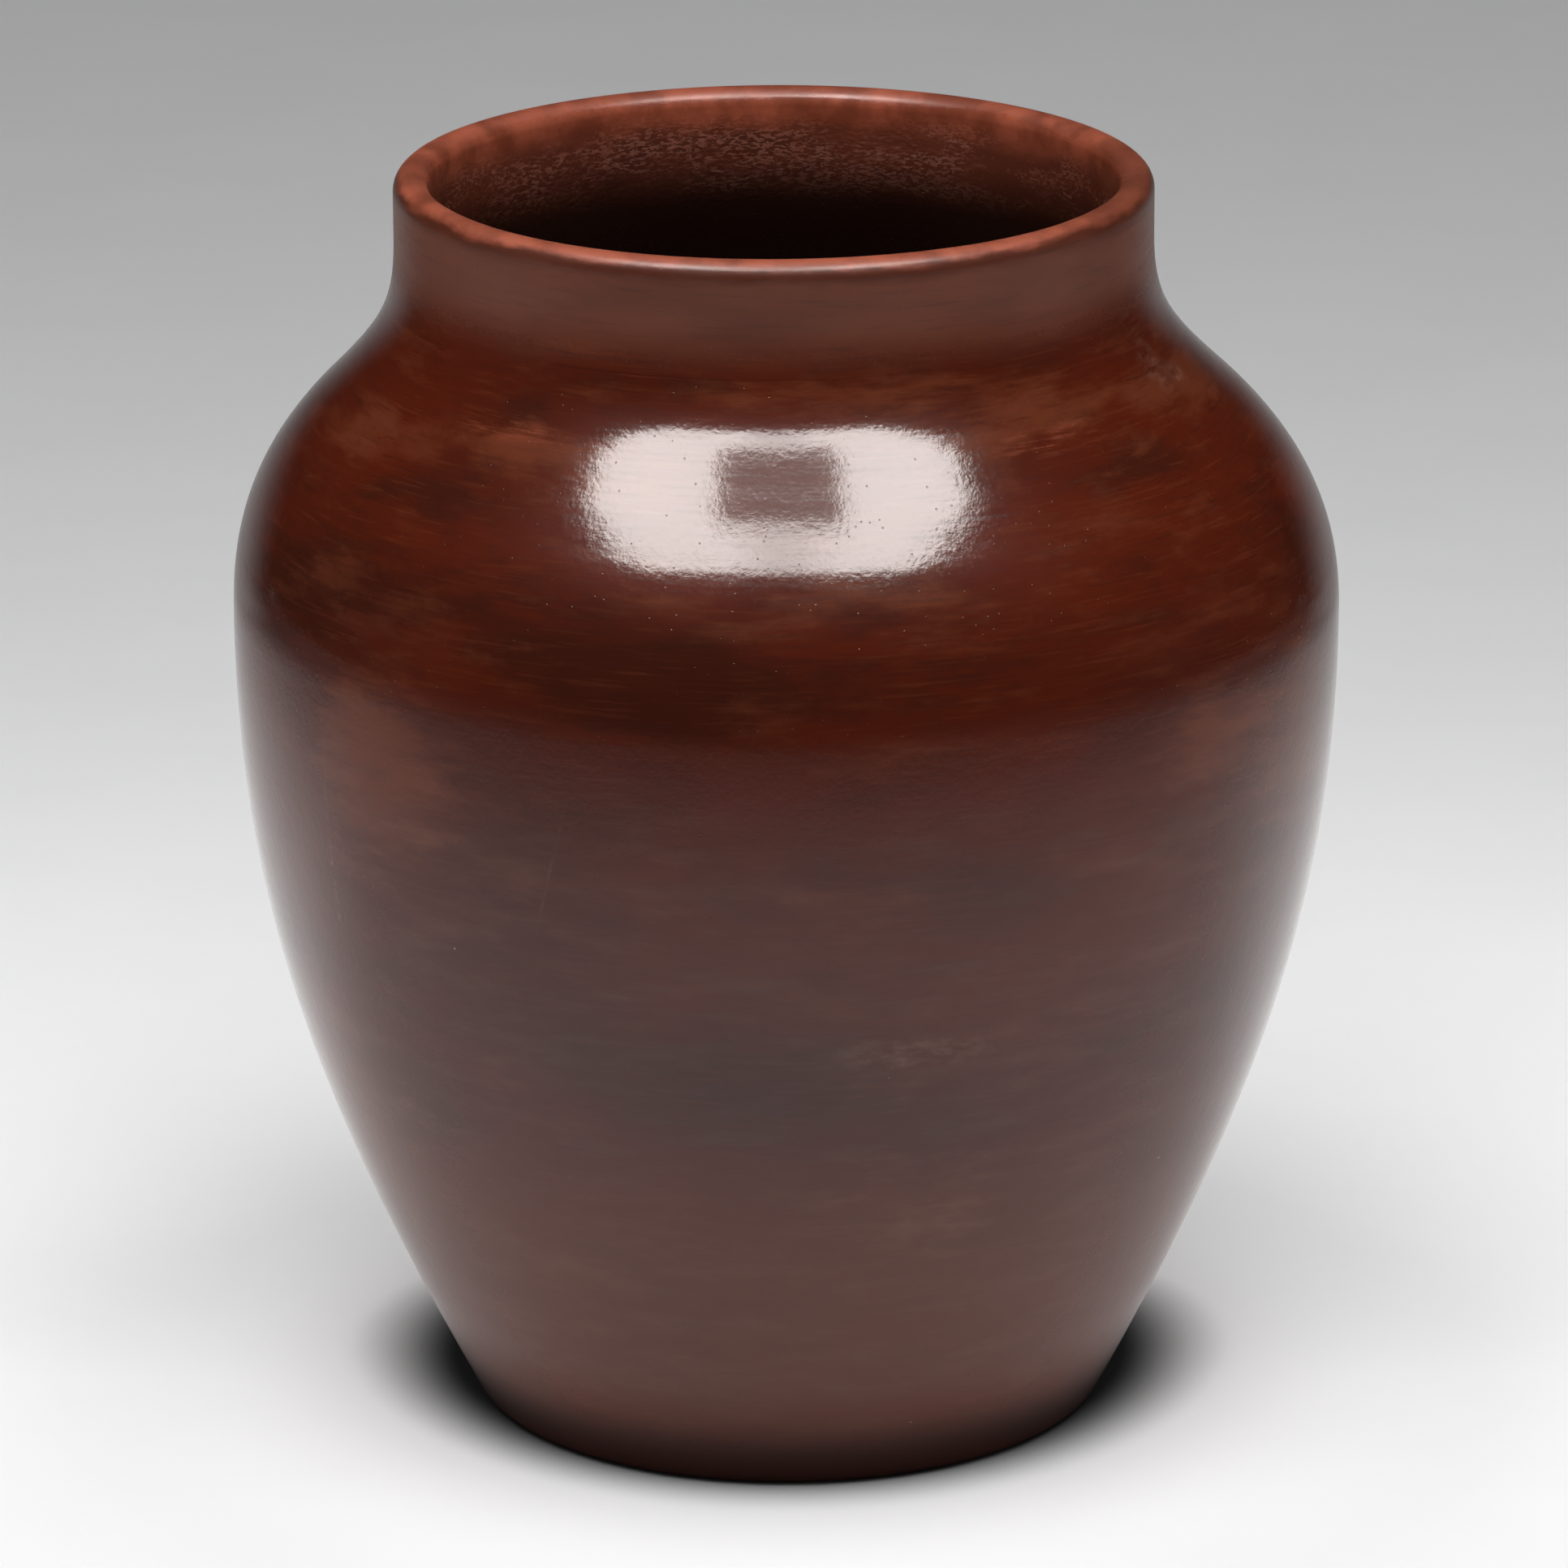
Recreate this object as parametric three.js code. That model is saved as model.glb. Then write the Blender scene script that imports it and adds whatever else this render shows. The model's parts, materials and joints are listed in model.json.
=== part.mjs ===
// A hand-built pottery vase. Rings of coiled clay rise from a flat base disc to a rounded rim, and each
// course sits on the one below in a bevelled lap joint that is filled with slip.
// Millimetres, +Z up. The origin is the centre of the flat underside.

import * as THREE from 'three';

// Outer wall. It follows straight guide lines with rounded corners: a flare from the foot, an upright at
// the belly, a slope over the shoulder and an upright at the neck. Each rise starts where the last one ends.
const FOOT_RADIUS = 51.5; // where the wall's line meets the ground, before the heel is rounded
const BELLY_RADIUS = 91.2;
const NECK_RADIUS = 62.1;
const FLARE_RISE = 76;
const BELLY_RISE = 61.5; // ends at the widest point
const SHOULDER_RISE = 20.7;
const SLOPE_RISE = 27.7;
const NECK_RISE = 13.8; // ends where the neck stands upright
const COLLAR_RISE = 7.45; // ends where the lip's rounding starts

// How far towards its corner each rounding is pulled, as a share of the guide lines beside it.
const FLARE_PULL = 0.75;
const SHOULDER_PULL = 0.69;
const NECK_PULL = 0.82;
const SLOPE_TURN = 0.55; // share of the slope at which the shoulder's rounding gives way to the neck's

// The neck was pressed off the belly's axis, towards -X.
const NECK_DRIFT = 1.75;

// Clay thickness and the roundings at the foot.
const FOOT_WALL = 8;
const LIP_WALL = 5.7;
const FLOOR_THICKNESS = 9;
const FLOOR_FILLET = 8; // reach of the inside rounding, along the floor and up the wall
const HEEL_REACH = 3; // reach of the heel's rounding, along the ground and up the wall

// Courses and their joints, measured up the wall.
const BASE_EDGE = 3; // upturned edge of the base disc above the floor's fillet
const RIM_HEIGHT = 16; // rim coil below the lip's rounding
const JOINT_LAP = 5; // how much higher a joint is inside than outside
const SLIP_GAP = 0.4;
const COIL_ZONES = [
  { name: 'lower_wall_coil', count: 5 },
  { name: 'belly_coil', count: 5 },
  { name: 'shoulder_coil', count: 2 },
  { name: 'neck_coil', count: 1 },
];

// Fineness of the facets.
const TURN_SEGMENTS = 64;
const COURSE_STEPS = 3;
const ROUNDING_STEPS = 3;
const LIP_STEPS = 6;
const SEARCH_TOLERANCE = 0.001; // of a distance that is found by halving

// Finishes: dark burnished slip, a rim rubbed back to lighter clay, and bare clay under the foot.
const BURNISHED_SLIP = { color: 0x5a2a1e, roughness: 0.35, metalness: 0 };
const RUBBED_RIM = { color: 0x6e3526, roughness: 0.5, metalness: 0 };
const BARE_CLAY = { color: 0x63392b, roughness: 0.7, metalness: 0 };

// Guide points of the profile, as radius and height.
const foot = new THREE.Vector2(FOOT_RADIUS, 0);
const flareCorner = new THREE.Vector2(BELLY_RADIUS, FLARE_RISE);
const belly = new THREE.Vector2(BELLY_RADIUS, flareCorner.y + BELLY_RISE);
const shoulderCorner = new THREE.Vector2(BELLY_RADIUS, belly.y + SHOULDER_RISE);
const neckCorner = new THREE.Vector2(NECK_RADIUS, shoulderCorner.y + SLOPE_RISE);
const neck = new THREE.Vector2(NECK_RADIUS, neckCorner.y + NECK_RISE);
const collar = new THREE.Vector2(NECK_RADIUS, neck.y + COLLAR_RISE);
const slopeTurn = shoulderCorner.clone().lerp(neckCorner, SLOPE_TURN);

function roundedCorner(start, corner, end, pull) {
  const leaving = start.clone().lerp(corner, pull);
  const arriving = end.clone().lerp(corner, pull);
  return new THREE.CubicBezierCurve(start, leaving, arriving, end);
}

const wall = new THREE.CurvePath();
wall.add(roundedCorner(foot, flareCorner, belly, FLARE_PULL));
wall.add(roundedCorner(belly, shoulderCorner, slopeTurn, SHOULDER_PULL));
wall.add(roundedCorner(slopeTurn, neckCorner, neck, NECK_PULL));
wall.add(new THREE.LineCurve(neck, collar));
const wallLength = wall.getLength();

// A point of the outer face, at a distance up the wall from the ground.
function outside(distance) {
  return wall.getPoint(distance / wallLength);
}

// The point of the inner face straight across the wall from it. The wall thins evenly towards the lip.
function inside(distance) {
  const share = distance / wallLength;
  const upward = wall.getTangent(share);
  const inward = new THREE.Vector2(-upward.y, upward.x);
  const thickness = THREE.MathUtils.lerp(FOOT_WALL, LIP_WALL, share);
  return wall.getPoint(share).addScaledVector(inward, thickness);
}

// The distance up the wall at which the inner face reaches a height, found by halving.
function distanceAtInnerHeight(height) {
  let low = 0;
  let high = wallLength;
  while (high - low > SEARCH_TOLERANCE) {
    const middle = (low + high) / 2;
    if (inside(middle).y < height) {
      low = middle;
    } else {
      high = middle;
    }
  }
  return high;
}

const floorCorner = distanceAtInnerHeight(FLOOR_THICKNESS);
const filletTop = floorCorner + FLOOR_FILLET;
const baseJoint = filletTop + BASE_EDGE;
const rimJoint = wallLength - RIM_HEIGHT;

function stretch(face, from, to) {
  const points = [];
  for (let step = 0; step <= COURSE_STEPS; step += 1) {
    points.push(face(THREE.MathUtils.lerp(from, to, step / COURSE_STEPS)));
  }
  return points;
}

function heelRounding() {
  const end = outside(HEEL_REACH);
  const slant = wall.getTangent(HEEL_REACH / wallLength);
  const corner = new THREE.Vector2(end.x - (end.y * slant.x) / slant.y, 0);
  const start = new THREE.Vector2(corner.x - HEEL_REACH, 0);
  return new THREE.QuadraticBezierCurve(start, corner, end).getPoints(ROUNDING_STEPS);
}

function floorRounding() {
  const corner = inside(floorCorner);
  const end = new THREE.Vector2(corner.x - FLOOR_FILLET, FLOOR_THICKNESS);
  return new THREE.QuadraticBezierCurve(inside(filletTop), corner, end).getPoints(ROUNDING_STEPS);
}

function baseProfile() {
  const top = baseJoint - SLIP_GAP / 2;
  return [
    new THREE.Vector2(0, 0),
    ...heelRounding(),
    ...stretch(outside, HEEL_REACH, top).slice(1),
    inside(top + JOINT_LAP),
    ...floorRounding(),
    new THREE.Vector2(0, FLOOR_THICKNESS),
  ];
}

function coilProfile(lowerJoint, upperJoint) {
  const bottom = lowerJoint + SLIP_GAP / 2;
  const top = upperJoint - SLIP_GAP / 2;
  return [
    ...stretch(outside, bottom, top),
    ...stretch(inside, top + JOINT_LAP, bottom + JOINT_LAP),
    outside(bottom),
  ];
}

function rimProfile() {
  const bottom = rimJoint + SLIP_GAP / 2;
  const lipRadius = LIP_WALL / 2;
  const lip = new THREE.EllipseCurve(NECK_RADIUS - lipRadius, collar.y, lipRadius, lipRadius, 0, Math.PI);
  return [
    ...stretch(outside, bottom, wallLength),
    ...lip.getPoints(LIP_STEPS).slice(1, -1),
    ...stretch(inside, wallLength, bottom + JOINT_LAP),
    outside(bottom),
  ];
}

// Slides everything above the belly sideways, fully so from where the neck stands upright.
function driftNeck(geometry) {
  const position = geometry.getAttribute('position');
  for (let index = 0; index < position.count; index += 1) {
    const share = THREE.MathUtils.smoothstep(position.getZ(index), belly.y, neck.y);
    position.setX(index, position.getX(index) - NECK_DRIFT * share);
  }
}

function clayPiece(name, profile, finish) {
  const geometry = new THREE.LatheGeometry(profile, TURN_SEGMENTS);
  geometry.rotateX(Math.PI / 2);
  driftNeck(geometry);
  geometry.computeVertexNormals();
  const piece = new THREE.Mesh(geometry, new THREE.MeshStandardMaterial(finish));
  piece.name = name;
  return piece;
}

function coilNames() {
  const names = [];
  for (const zone of COIL_ZONES) {
    for (let number = 1; number <= zone.count; number += 1) {
      names.push(zone.count > 1 ? `${zone.name}_${number}` : zone.name);
    }
  }
  return names;
}

const vase = new THREE.Group();
vase.add(clayPiece('base_disc', baseProfile(), BARE_CLAY));
const coils = coilNames();
const courseHeight = (rimJoint - baseJoint) / coils.length;
coils.forEach((name, course) => {
  const lowerJoint = baseJoint + course * courseHeight;
  vase.add(clayPiece(name, coilProfile(lowerJoint, lowerJoint + courseHeight), BURNISHED_SLIP));
});
vase.add(clayPiece('rim_coil', rimProfile(), RUBBED_RIM));

export default vase;
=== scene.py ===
# The look of a hand-built, burnished pottery vase: a fine mesh for each clay course, the fired clay itself,
# and a plain studio. Metres, +Z up. The origin is the centre of the flat underside, and -Y faces the viewer.
import json
import math

import bpy
import numpy as np
from mathutils import Euler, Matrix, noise


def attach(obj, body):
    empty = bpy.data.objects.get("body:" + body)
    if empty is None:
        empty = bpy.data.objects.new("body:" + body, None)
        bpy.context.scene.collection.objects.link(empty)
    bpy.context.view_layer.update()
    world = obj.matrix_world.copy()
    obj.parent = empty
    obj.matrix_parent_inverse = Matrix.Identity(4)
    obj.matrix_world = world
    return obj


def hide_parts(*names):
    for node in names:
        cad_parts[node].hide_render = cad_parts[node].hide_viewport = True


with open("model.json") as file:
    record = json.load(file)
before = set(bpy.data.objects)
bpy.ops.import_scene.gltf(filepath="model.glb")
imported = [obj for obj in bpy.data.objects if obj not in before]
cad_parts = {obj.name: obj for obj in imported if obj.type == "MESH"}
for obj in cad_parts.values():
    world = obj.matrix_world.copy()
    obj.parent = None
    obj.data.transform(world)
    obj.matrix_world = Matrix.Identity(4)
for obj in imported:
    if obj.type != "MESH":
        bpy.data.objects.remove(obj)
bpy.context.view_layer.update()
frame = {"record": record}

MM = 0.001

# Outer wall, as in the solid model: straight guide lines with rounded corners.
FOOT_RADIUS = 51.5 * MM
BELLY_RADIUS = 91.2 * MM
NECK_RADIUS = 62.1 * MM
FLARE_RISE = 76 * MM
BELLY_RISE = 61.5 * MM
SHOULDER_RISE = 20.7 * MM
SLOPE_RISE = 27.7 * MM
NECK_RISE = 13.8 * MM
COLLAR_RISE = 7.45 * MM
FLARE_PULL = 0.75
SHOULDER_PULL = 0.69
NECK_PULL = 0.82
SLOPE_TURN = 0.55
NECK_DRIFT = 1.75 * MM  # how far the neck sits off the belly's axis, towards -X

# Clay thickness, roundings and joints, as in the solid model.
FOOT_WALL = 8 * MM
LIP_WALL = 5.7 * MM
FLOOR_THICKNESS = 9 * MM
FLOOR_FILLET = 8 * MM
HEEL_REACH = 3 * MM
BASE_EDGE = 3 * MM
RIM_HEIGHT = 16 * MM
JOINT_LAP = 5 * MM
COURSE_COUNT = len(frame["record"]["subparts"]) - 2  # coils between the base disc and the rim

# Fineness of the meshes.
CURVE_STEPS = 1200
FACE_POINTS = 3600
SEARCH_POINTS = 12000
TANGENT_STEP = 0.15 * MM
LEAST_LENGTH = 1e-12  # stands in for no length at all, where a vector is divided by its own
WALL_COLUMNS = 512
MOUTH_COLUMNS = 1024
OUTER_STEP = 1.3 * MM
LIP_STEP = 0.45 * MM
MOUTH_STEP = 0.25 * MM
INNER_STEP = 2.2 * MM
FLOOR_STEP = 3 * MM

# A course's texture: its columns lie in bands, one above the other. The outer and the inner face each take
# a share of a band's height, with a narrow strip for each joint and each centre of the base disc.
TEXTURE_BANDS = 4
TEXTURE_MARGIN = 0.01
NARROW_STRIP = 0.02
BASE_SPLIT = 0.55  # share at which the outer face ends
COIL_SPLIT = 0.49

# Unevenness of the hand-made surface.
HAND_WAVE = 0.11 * MM
HAND_WAVE_SIZE = 85 * MM
FACET_DEPTH = 0.016 * MM  # flats left by the burnishing stone
FACET_LENGTH = 60 * MM
FACET_HEIGHT = 9 * MM
RIDGE_HEIGHT = 0.35 * MM  # finger ridges along the joints inside
HEEL_EASE = 6 * MM  # above the heel's rounding, where the unevenness is full

# Grit dragged along the inside of the neck, in patches. It starts and ends so far down from the lip's crest.
DRAG_DEPTH = 0.035 * MM
DRAG_LENGTH = 1.0 * MM
DRAG_HEIGHT = 0.45 * MM
DRAG_PATCH_LENGTH = 26 * MM
DRAG_PATCH_HEIGHT = 12 * MM
DRAG_PATCH_EDGE = (-0.35, 0.25)
FLAKE_RISE = (0.05, 0.30)  # values of the noise between which a flake rises or a groove sinks
GROOVE_FALL = (0.1, 0.4)
GROOVE_SHARE = 0.5
GRIT_LENGTH = DRAG_LENGTH / 3
GRIT_HEIGHT = DRAG_HEIGHT / 1.6
GRIT_SHARE = 0.35
DRAG_START = 5 * MM
DRAG_FULL = 10 * MM
DRAG_FADE = 30 * MM
DRAG_END = 60 * MM

# The front of the shoulder is a little flat under a slight swell, and the front of the collar leans out.
FRONT_EDGE = (0.35, 0.95)  # how squarely a place faces the viewer, where the front starts and is full
FRONT_HOLLOW = 0.65 * MM
HOLLOW_FOOT = 100 * MM
HOLLOW_FULL_FOOT = 150 * MM
HOLLOW_FULL_TOP = 166.5 * MM
HOLLOW_TOP = 178 * MM
FRONT_SWELL = 0.26 * MM
SWELL_FOOT = 170 * MM
SWELL_CREST = 180 * MM
SWELL_TOP = 189 * MM
COLLAR_LEAN = 0.75 * MM
LEAN_EASE = 4 * MM  # how far below and above the collar the lean sets in and is full

# Clay and slip colours.
# The black slip also paints shade on the heel.
SLIP_BLACK_AND_SHADE = (0.020, 0.0048, 0.0026, 1)
# The deep slip also paints shade below the lip.
SLIP_DEEP_AND_SHADE = (0.038, 0.0058, 0.0022, 1)
SLIP_RED = (0.054, 0.0066, 0.0019, 1)
# The orange slip also paints bounce light from the floor on the foot.
SLIP_ORANGE_AND_BOUNCE_LIGHT = (0.086, 0.0200, 0.0080, 1)
# The dust colour also paints a patchy mirrored veil below the belly and on the neck.
CLAY_DUST_AND_VEIL = (0.20, 0.11, 0.08, 1)
LIP_RED = (0.140, 0.031, 0.0145, 1)
LIP_ORANGE = (0.255, 0.061, 0.031, 1)
# A near-black for the painted shade inside the mouth.
INSIDE_SHADE = (0.010, 0.0030, 0.0018, 1)
INSIDE_DARK = (0.044, 0.0105, 0.006, 1)
INSIDE_RED = (0.080, 0.019, 0.010, 1)
INSIDE_FLAKE = (0.17, 0.056, 0.035, 1)
INSIDE_DEEP = (0.10, 0.034, 0.020, 1)
BARE_DARK = (0.19, 0.065, 0.038, 1)
BARE_PALE = (0.30, 0.125, 0.080, 1)

# Noise patterns in the clay: width and height of their features, then detail and roughness of the noise.
CLOUDS = (60 * MM, 30 * MM, 3, 0.55)
WASH = (26 * MM, 8 * MM, 5, 0.66)
STREAKS = (17 * MM, 4 * MM, 6, 0.68)
STROKES = (13 * MM, 0.5 * MM, 3, 0.6)
RUBBING = (4 * MM, 1.5 * MM, 5, 0.7)
MOTTLE = (2.2 * MM, 2.2 * MM, 2, 0.5)
GRAIN = (0.8 * MM, 0.8 * MM, 2, 0.6)
LIP_SPOTS = (9 * MM, 9 * MM, 4, 0.6)
INSIDE_CLOUDS = (30 * MM, 14 * MM, 3, 0.5)
ISLANDS = (16 * MM, 6 * MM, 4, 0.65)  # where the flakes lie
FLAKES = (1.3 * MM, 0.48 * MM, 4, 0.7)
NOISE_MIDDLE = 0.5

# Dots in the clay: their spacing, their radius and the share of places that have one.
SPECKS = (15 * MM, 0.3 * MM, 0.5)
PITS = (1.8 * MM, 0.20 * MM, 0.6)

# Edges of the marks: the values of a pattern at which a mark sets in, and at which it is full.
CLOUD_EDGE = (0.34, 0.66)
DARK_EDGE = (0.1, 0.75)
WARM_EDGE = (0.15, 0.8)
WASH_WARM_EDGE = (0.52, 0.72)
WASH_DARK_EDGE = (0.46, 0.28)
NECK_WASH_EDGE = (0.35, 0.6)
RUBBING_EDGE = (0.35, 0.75)
PATCH_EDGE = (0, 0.7)
SCRATCH_EDGE = (0.95, 1.2)
STROKE_DARK_EDGE = (0.54, 0.72)
STROKE_WARM_EDGE = (0.46, 0.30)
STROKE_ROUGH_EDGE = (0.45, 0.75)
SMUDGE_EDGE = (0.42, 0.72)
RAGGED_EDGE = (0.3, 0.7)
LIP_SPOT_EDGE = (0.35, 0.65)
INSIDE_CLOUD_EDGE = (0.35, 0.65)
ISLAND_EDGE = (0.40, 0.58)
FLAKE_EDGE = (0.50, 0.55)
BARE_GRAIN_EDGE = (0.3, 0.7)
GRAIN_ROUGH_EDGE = (0.5, 0.8)

# Strengths of the marks, as shares of the colour that they lay over the slip.
DARK_STRENGTH = 0.62
WARM_STRENGTH = 0.8
PATCH_RAGGED = 2.2  # how far the streaks reach into the edges of the patches
WASH_STRENGTH = 0.5
NECK_WASH_LEAST = 0.55
NECK_WASH_MOST = 0.95
RUBBED_STRENGTH = 0.28
SCRATCH_STRENGTH = 0.5
STROKE_DARK = 0.40
STROKE_WARM = 0.30
# Painted bounce light from the floor on the foot.
FOOT_BOUNCE_LIGHT = 0.6
# Painted reflection: a patchy veil in a dust colour below the belly, and a veil on the neck.
SMUDGE_VEIL = 0.07
NECK_VEIL = 0.06
FLAKE_STRENGTH = 0.75
# Painted shade below the lip.
PAINTED_SHADE_BELOW_LIP_STRENGTH = 0.6
LIP_SHADE_STRENGTH = 0.9

# Heights above the ground between which the slip changes.
SHOULDER_START = 110 * MM  # above the belly, the marks are stronger
SHOULDER_FULL = 170 * MM
BELLY_MARKS = 0.5  # strength of the marks below
NECK_START = 190 * MM
NECK_FULL = 200 * MM
# Painted reflection: where the smudged veil below the belly sets in and is full.
SMUDGE_START = 140 * MM
SMUDGE_FULL = 115 * MM
# Painted bounce light from the floor on the foot, from where it sets in to where it is full.
FOOT_BOUNCE_START = 70 * MM
FOOT_BOUNCE_FULL = 40 * MM
# Painted shade on the heel, from where it sets in to where it is full.
HEEL_SHADE_START = 16 * MM
HEEL_SHADE_FULL = 5 * MM

# Zones along the clay's surface, by the distance from the lip's crest down the inside or the outside.
WEAR_RAGGED = 0.8 * MM
LIP_WEAR_OUTSIDE = 3.6 * MM
# Painted shade: a darker line below the worn lip, where its roll turns down.
PAINTED_SHADE_BELOW_LIP = 2.5 * MM  # a darker line below the worn lip
LIP_GLOSS_START = 1.8 * MM
LIP_GLOSS_FULL = 4 * MM
LIP_WEAR_INSIDE = 3.5 * MM  # from here to the end, the worn clay darkens into the rough inside
LIP_WEAR_END = 10.5 * MM
# Painted shade inside the mouth, from where it sets in to where it is full.
INSIDE_SHADE_START = 9 * MM
INSIDE_SHADE_FULL = 22 * MM
DEEP_START = 50 * MM  # deep inside, the clay is bare
DEEP_FULL = 95 * MM
NECK_HAZE_START = 24 * MM
NECK_HAZE_FULL = 14 * MM
UNDER_EASE = 4 * MM  # in from the heel, where the underside is fully bare

# Gloss and fine relief of the clay.
CLAY_IOR = 1.45
ROUGH_POLISHED = 0.11
ROUGH_STROKE = 0.16
ROUGH_GRAIN = 0.06
ROUGH_NECK = 0.20
ROUGH_LIP = 0.27
ROUGH_INSIDE = 0.06
ROUGH_UNDER = 0.40
ROUGH_DEEP = 0.45
GLOSS_INSIDE_LIP = 0.22
SCUFF_WEIGHT = 0.05  # fine scuffs that veil the gloss
SCUFF_ROUGHNESS = 0.38
STROKE_DEPTH = 0.003 * MM
MOTTLE_DEPTH = 0.020 * MM
GRAIN_DEPTH = 0.017 * MM
PIT_DEPTH = 0.03 * MM
FLAKE_DEPTH = 0.015 * MM

# Patches on the outer wall: strength, angle from the front in degrees, then height above the ground, width
# and tallness in mm, and for some a tilt in degrees.
PATCH_DEPTH = 30 * MM
WARM_PATCHES = [
    (0.8, -31, 178, 54, 14), (0.8, -63, 175, 44, 15), (1.0, 73, 180, 40, 18), (0.9, 38, 182, 80, 13),
    (0.3, 36, 164, 110, 26), (0.5, 3, 160, 80, 18), (1.0, -46, 128, 50, 46), (0.8, 48, 132, 40, 28),
    (0.5, 0, 188, 130, 13), (0.6, 15, 56, 60, 34), (0.7, 128, 174, 90, 26), (0.6, 170, 150, 110, 34),
    (0.8, 222, 178, 80, 22), (0.6, 205, 96, 90, 44), (0.5, 262, 128, 70, 50), (0.5, 118, 84, 80, 40),
    (1.0, -66, 62, 70, 80), (0.8, 66, 126, 50, 60),
]
DARK_PATCHES = [
    (0.7, -38, 184, 36, 8), (0.9, -46, 170, 44, 12), (0.8, -54, 155, 50, 22), (0.8, -66, 149, 50, 30),
    (1.0, -17, 149, 62, 24), (0.9, -6, 147, 66, 20), (0.8, 50, 173, 44, 10), (0.7, 70, 157, 40, 40),
    (0.7, -36, 157, 56, 20), (0.5, 16, 150, 60, 22), (0.4, 45, 152, 44, 16), (0.4, 23, 112, 90, 44),
    (0.6, -6, 79, 100, 50), (0.8, 150, 178, 60, 16), (0.8, 190, 165, 70, 26), (0.7, 240, 150, 80, 30),
    (0.7, 110, 120, 70, 40), (0.6, 180, 70, 90, 40), (0.6, 285, 88, 70, 36),
]
RUBBED_PATCHES = [
    (0.9, 14, 86, 38, 9), (0.6, 16, 53, 30, 16), (0.9, 66, 184, 10, 12), (0.8, 72, 181, 9, 6),
    (0.6, 140, 92, 30, 8), (0.6, 215, 120, 26, 8), (1.0, -55, 108, 1.2, 44), (0.5, -24.6, 116, 0.8, 36, 15),
]
SCRATCHED_PATCHES = [
    (0.8, 38, 179, 30, 6), (0.5, -40, 181, 40, 6), (0.5, 160, 170, 40, 8), (0.6, 250, 176, 34, 7),
]
LIP_SHADE = (80, 206, 80, 40)  # a patch where the lip is less worn, without a strength of its own

# Studio: white paper on a table under one large softbox, in a dark room.
BLACK = (0, 0, 0, 1)
WHITE = (1, 1, 1, 1)
CREAM = (1.0, 0.95, 0.92, 1)
PAPER_MOTTLE = (50 * MM, 50 * MM, 3, 0.5)
PAPER_MOTTLE_EDGE = (0.3, 0.7)
PAPER_MOTTLE_DIM = 0.985
CARD_MOTTLE_DIM = 0.97
PAPER_ROUGHNESS = 0.95

# Floor, graded from the front to the far back: painted shade at the front, painted light just behind the
# vase, dimmer far back.
FLOOR_REACH = 12.0
FLOOR_FRONT = (0.40, 0.40, 0.404, 1)
FLOOR_FRONT_Y = -0.62
FLOOR_BACK = (0.88, 0.88, 0.886, 1)
FLOOR_BACK_Y = 0.0
FLOOR_FALL = 2.8
FLOOR_BRIGHT = (0.96, 0.96, 0.966, 1)
FLOOR_BRIGHT_Y = 0.12
FLOOR_FAR = (0.84, 0.84, 0.845, 1)
FLOOR_FAR_Y = 0.42
NEAR_PAINTED_LIGHT = 1.14  # painted light: the paper round the vase, painted brighter, which throws light back on it
NEAR_START = 0.08
NEAR_END = 0.125

# Shade on the paper close to the foot, by the distance from the axis.
CONTACT_SHADE = 0.02
CONTACT_DARK = 53 * MM
CONTACT_CLEAR = 74 * MM
CONTACT_FRONT = -60 * MM
CONTACT_BACK = 50 * MM
CONTACT_EASE = 10 * MM  # how much nearer to the axis the shade lies before the foot
CONTACT_PRESS = 10 * MM  # and how much further out behind it
MIRRORED_EASE = 3 * MM

# What the clay mirrors: the table with a pool of light on it, the room, the paper's sweep and the softbox.
CLOTH_LIFT = 0.5 * MM
TABLE_HALF_WIDTH = 0.90
TABLE_FRONT = -0.74
POOL_Y = 0.10
POOL_DIM = 0.08
POOL_START = 0.18
POOL_END_FRONT = 0.80
POOL_END_BACK = 0.68
POOL_BRIGHT_FRONT = 0.74
POOL_FRONT = -0.03
POOL_BACK = 0.12
FAR_BRIGHT = 0.48  # the paper far behind the vase
FAR_START = 0.35
FAR_FULL = 0.50
FAR_SIDE_START = 0.35
FAR_SIDE_END = 0.75
ROOM_RADIANCE = 0.01
ROOM_REACH = 4.0
SWEEP_RADIANCE = 0.33
SWEEP_Y = 0.65
SWEEP_HALF_WIDTH = 0.80
SWEEP_HEIGHT = 0.30
SWEEP_DIM = 0.35  # from this far off its middle, the sweep is dimmer and dimmer
SOFTBOX_EDGE = [  # its front edge from left to right, as X and Y
    (-0.98, -0.60), (-0.88, -0.84), (-0.72, -1.00), (-0.30, -1.08),
    (0.30, -1.07), (0.64, -1.00), (0.82, -0.78), (0.94, -0.50),
]
SOFTBOX_BACK = -0.25
SOFTBOX_Z = 1.67
SOFTBOX_RADIANCE = 20.0
SOFTBOX_DIM = 0.78  # at its middle, beside the shade
SOFTBOX_DIM_START = 0.05
SOFTBOX_DIM_END = 0.30
SHADE_RADIANCE = 2.0
SHADE_HALF_WIDTH = 0.31
SHADE_FRONT = -0.79

# Lamps and the light all round.
KEY_POWER = 14.6
KEY_WIDTH = 1.5
KEY_DEPTH = 1.1
KEY_Y = -0.50
KEY_Z = 0.80
FILL_POWER = 3.0
FILL_LENGTH = 0.7
FILL_HEIGHT = 0.3
FILL_X = 0.90
FILL_Z = 0.17
AMBIENT = 0.31
BACKGROUND = 0.6

# Camera: the photo's view, fitted to the vase's outline.
PHOTO_SIDE = 1932
FOCAL_PIXELS = 12301.7
SENSOR = 36.0
CAMERA_PLACE = (-0.00046, -1.585, 0.5975)
CAMERA_PITCH = 0.30129
CAMERA_ROLL = -0.00381


# Profile of the vase, in the plane of radius and height.

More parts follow.
